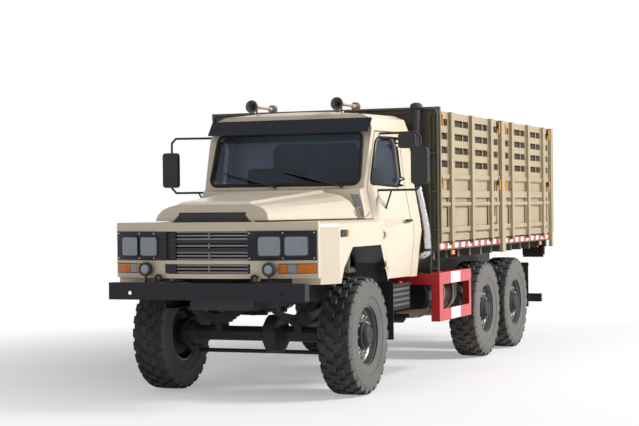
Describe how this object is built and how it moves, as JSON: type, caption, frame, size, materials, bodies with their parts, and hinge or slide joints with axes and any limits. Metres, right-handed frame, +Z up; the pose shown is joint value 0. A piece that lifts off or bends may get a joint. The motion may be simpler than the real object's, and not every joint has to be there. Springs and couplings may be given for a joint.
{
  "type": "military cargo truck",
  "caption": "Bonneted all wheel drive cargo truck with a closed cab and a slatted drop side load bed on a ladder frame.",
  "frame": {"origin": "on the ground under the middle of the overall length and width", "axes": "+Y towards the rear, +X to the truck's left, +Z up"},
  "size_m": [2.765, 7.532, 2.7448],
  "materials": {
    "sand_paint": "satin sand paint, dusty",
    "khaki_paint": "matt khaki paint, dusty",
    "chassis_black": "worn black chassis paint",
    "cast_grey": "dull castings with road dust",
    "engine_grey": "painted engine castings",
    "tyre_rubber": "black rubber greyed with dust",
    "wheel_grey": "grey wheel paint",
    "window_glass": "clear slightly green glass",
    "black_trim": "black plastic and rubber trim",
    "visor_navy": "dark navy tinted visor",
    "silver_metal": "bright silver metal",
    "seat_cloth": "dark seat cover",
    "lamp_black": "black lamp panel with clear lenses",
    "tank_black": "black tank with bright straps",
    "guard_red": "red frame with white patches",
    "olive_board": "dark olive brown",
    "flap_rubber": "black rubber sheet"
  },
  "bodies": {
    "truck": {"chassis_rails": "chassis_black", "cross_members": "chassis_black", "front_bumper": "chassis_black", "rear_underrun": "chassis_black", "engine_block": "engine_grey", "radiator": "chassis_black", "driveline": "cast_grey", "front_axle": "cast_grey", "bogie_axles": "cast_grey", "leaf_springs": "chassis_black", "cab_floor": "sand_paint", "cab_glass": "window_glass", "sun_visor": "visor_navy", "roof_horns": "black_trim", "seats": "seat_cloth", "dashboard": "black_trim", "fenders": "sand_paint", "front_panel": "sand_paint", "grille": "silver_metal", "front_lamps": "lamp_black", "fuel_tanks": "tank_black", "battery_box": "cast_grey", "steps": "chassis_black", "side_guards": "guard_red", "mudflaps": "flap_rubber", "bed_deck": "khaki_paint", "headboard": "olive_board", "bed_posts": "khaki_paint", "air_intake": "black_trim", "cab_roof": "sand_paint", "cab_rear_wall": "sand_paint", "cab_front_frame": "sand_paint"},
    "steering_knuckle_left": {"knuckle_left": "cast_grey"},
    "cab_door_left": {"door_left": "sand_paint", "door_glass_left": "window_glass", "mirror_left": "black_trim"},
    "side_gate_front_left": {"gate_front_left": "khaki_paint"},
    "side_gate_rear_left": {"gate_rear_left": "khaki_paint"},
    "road_wheel_front_left": {"tyre_front_left": "tyre_rubber", "wheel_front_left": "wheel_grey"},
    "road_wheel_middle_left": {"tyre_middle_left": "tyre_rubber", "wheel_middle_left": "wheel_grey"},
    "road_wheel_rear_left": {"tyre_rear_left": "tyre_rubber", "wheel_rear_left": "wheel_grey"},
    "steering_knuckle_right": {"knuckle_right": "cast_grey"},
    "cab_door_right": {"door_right": "sand_paint", "door_glass_right": "window_glass", "mirror_right": "black_trim"},
    "side_gate_front_right": {"gate_front_right": "khaki_paint"},
    "side_gate_rear_right": {"gate_rear_right": "khaki_paint"},
    "road_wheel_front_right": {"tyre_front_right": "tyre_rubber", "wheel_front_right": "wheel_grey"},
    "road_wheel_middle_right": {"tyre_middle_right": "tyre_rubber", "wheel_middle_right": "wheel_grey"},
    "road_wheel_rear_right": {"tyre_rear_right": "tyre_rubber", "wheel_rear_right": "wheel_grey"},
    "track_rod": {"tie_rod": "cast_grey"},
    "driver_wheel": {"steering_wheel": "black_trim"},
    "engine_lid": {"bonnet": "sand_paint"},
    "tail_gate": {"tailgate": "khaki_paint"}
  },
  "joints": [
    {"name": "steer_left", "type": "hinge", "parent": "truck", "child": "steering_knuckle_left", "pos_m": [0.72, -2.581, 0.533], "axis": [0, 0, 1], "range_deg": [-28, 28]},
    {"name": "steer_right", "type": "hinge", "parent": "truck", "child": "steering_knuckle_right", "pos_m": [-0.72, -2.581, 0.533], "axis": [0, 0, 1], "range_deg": [-28, 28]},
    {"name": "track_rod_eye", "type": "hinge", "parent": "steering_knuckle_left", "child": "track_rod", "pos_m": [0.72, -2.361, 0.386], "axis": [0, 0, 1], "range_deg": [-28, 28]},
    {"name": "steering_column", "type": "hinge", "parent": "truck", "child": "driver_wheel", "pos_m": [0.42, -1.676, 1.8], "axis": [0, 0.6157, 0.788], "range_deg": [-560, 560]},
    {"name": "roll_front_left", "type": "hinge", "parent": "steering_knuckle_left", "child": "road_wheel_front_left", "pos_m": [0.91, -2.581, 0.533], "axis": [1, 0, 0], "continuous": true},
    {"name": "roll_middle_left", "type": "hinge", "parent": "truck", "child": "road_wheel_middle_left", "pos_m": [0.91, 1.289, 0.533], "axis": [1, 0, 0], "continuous": true},
    {"name": "roll_rear_left", "type": "hinge", "parent": "truck", "child": "road_wheel_rear_left", "pos_m": [0.91, 2.539, 0.533], "axis": [1, 0, 0], "continuous": true},
    {"name": "door_hinge_left", "type": "hinge", "parent": "truck", "child": "cab_door_left", "pos_m": [1.02, -1.989, 1.5], "axis": [0, 0, -1], "range_deg": [0, 65]},
    {"name": "gate_hinge_front_left", "type": "hinge", "parent": "truck", "child": "side_gate_front_left", "pos_m": [1.217, 0.219, 1.314], "axis": [0, 1, 0], "range_deg": [0, 90]},
    {"name": "gate_hinge_rear_left", "type": "hinge", "parent": "truck", "child": "side_gate_rear_left", "pos_m": [1.217, 2.519, 1.314], "axis": [0, 1, 0], "range_deg": [0, 90]},
    {"name": "roll_front_right", "type": "hinge", "parent": "steering_knuckle_right", "child": "road_wheel_front_right", "pos_m": [-0.91, -2.581, 0.533], "axis": [1, 0, 0], "continuous": true},
    {"name": "roll_middle_right", "type": "hinge", "parent": "truck", "child": "road_wheel_middle_right", "pos_m": [-0.91, 1.289, 0.533], "axis": [1, 0, 0], "continuous": true},
    {"name": "roll_rear_right", "type": "hinge", "parent": "truck", "child": "road_wheel_rear_right", "pos_m": [-0.91, 2.539, 0.533], "axis": [1, 0, 0], "continuous": true},
    {"name": "door_hinge_right", "type": "hinge", "parent": "truck", "child": "cab_door_right", "pos_m": [-1.02, -1.989, 1.5], "axis": [0, 0, 1], "range_deg": [0, 65]},
    {"name": "gate_hinge_front_right", "type": "hinge", "parent": "truck", "child": "side_gate_front_right", "pos_m": [-1.217, 0.219, 1.314], "axis": [0, -1, 0], "range_deg": [0, 90]},
    {"name": "gate_hinge_rear_right", "type": "hinge", "parent": "truck", "child": "side_gate_rear_right", "pos_m": [-1.217, 2.519, 1.314], "axis": [0, -1, 0], "range_deg": [0, 90]},
    {"name": "bonnet_hinge", "type": "hinge", "parent": "truck", "child": "engine_lid", "pos_m": [0, -2.169, 1.8], "axis": [-1, 0, 0], "range_deg": [0, 50]},
    {"name": "tail_gate_hinge", "type": "hinge", "parent": "truck", "child": "tail_gate", "pos_m": [0, 3.748, 1.314], "axis": [-1, 0, 0], "range_deg": [0, 90]}
  ],
  "couplings": [
    {"joint": "steer_right", "follows": "steer_left", "ratio": 1},
    {"joint": "track_rod_eye", "follows": "steer_left", "ratio": -1},
    {"joint": "steering_column", "follows": "steer_left", "ratio": 20}
  ]
}
